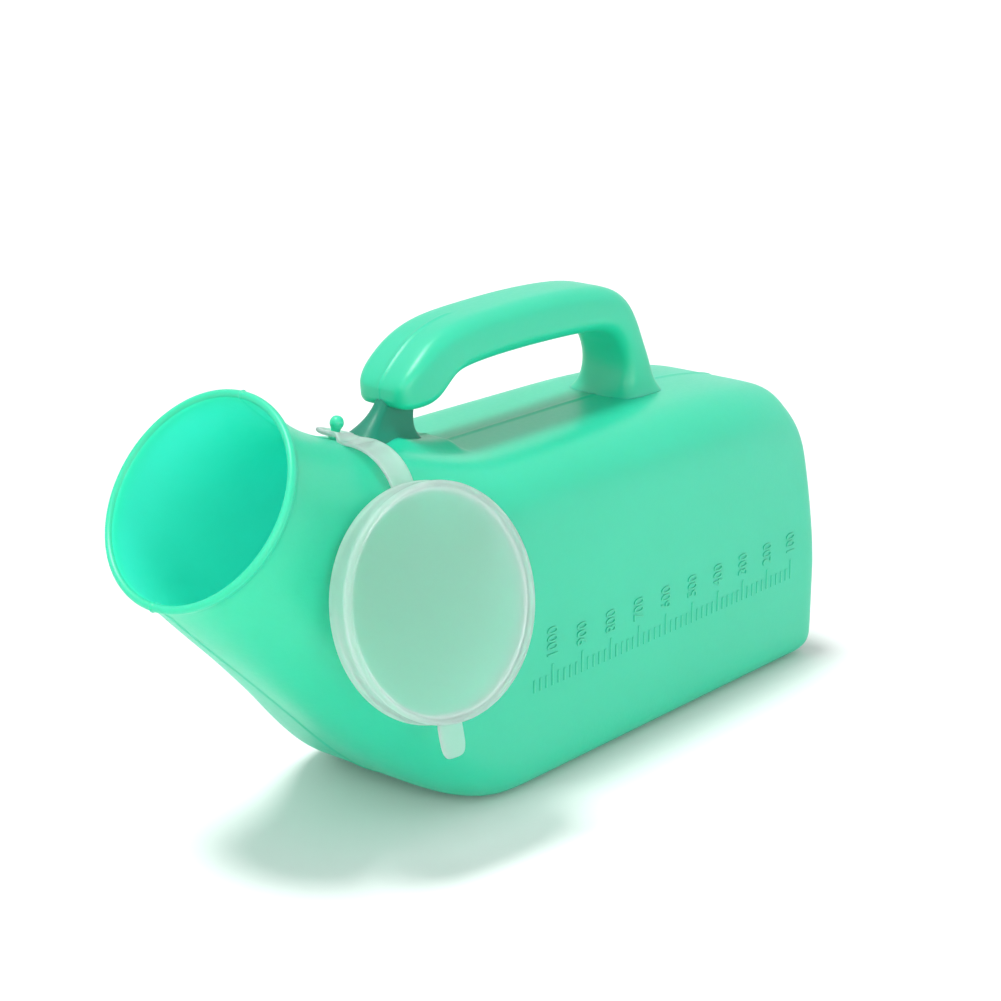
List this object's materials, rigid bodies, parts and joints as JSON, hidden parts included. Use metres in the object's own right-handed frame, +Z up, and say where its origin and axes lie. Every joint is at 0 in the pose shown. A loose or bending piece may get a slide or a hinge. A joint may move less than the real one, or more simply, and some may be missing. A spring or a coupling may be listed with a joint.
{
  "type": "urine bottle",
  "caption": "Male urinal bottle that lies flat, with a bent neck and flared round mouth, a loop handle, graduations and a strap-held snap lid.",
  "frame": {"origin": "centre line of the long resting side, on the surface it lies on, about the middle of the bottle's length", "axes": "+Z up as the bottle lies on its side, +X from the mouth towards the flat base end, Y = 0 the parting plane"},
  "size_m": [0.2701, 0.0939, 0.1416],
  "materials": {
    "bottle_plastic": "translucent mint-green blow-moulded polyethylene with a soft satin sheen",
    "lid_plastic": "milky natural polyethylene, satin, translucent"
  },
  "bodies": {
    "bottle_body": {"bottle": "bottle_plastic", "handle": "bottle_plastic", "peg": "bottle_plastic", "graduation_scale": "bottle_plastic"},
    "eyelet": {"strap_eyelet": "lid_plastic"},
    "strap": {"strap": "lid_plastic"},
    "lid": {"lid": "lid_plastic", "pull_tab": "lid_plastic"}
  },
  "joints": [
    {"name": "eyelet_swivel", "type": "hinge", "parent": "bottle_body", "child": "eyelet", "pos_m": [-0.11333, 0, 0.11363], "axis": [-0.2756, 0, -0.9613], "range_deg": [0, 36]},
    {"name": "strap_lift", "type": "hinge", "parent": "eyelet", "child": "strap", "pos_m": [-0.11477, -0.00858, 0.11363], "axis": [-0.9863, 0.1649, 0], "range_deg": [0, 81]},
    {"name": "lid_flip", "type": "hinge", "parent": "strap", "child": "lid", "pos_m": [-0.1185, -0.03088, 0.10764], "axis": [-0.9922, 0.1245, 0], "range_deg": [0, 36]}
  ],
  "couplings": [
    {"joint": "strap_lift", "follows": "eyelet_swivel", "ratio": 2.25},
    {"joint": "lid_flip", "follows": "eyelet_swivel", "ratio": 1}
  ]
}
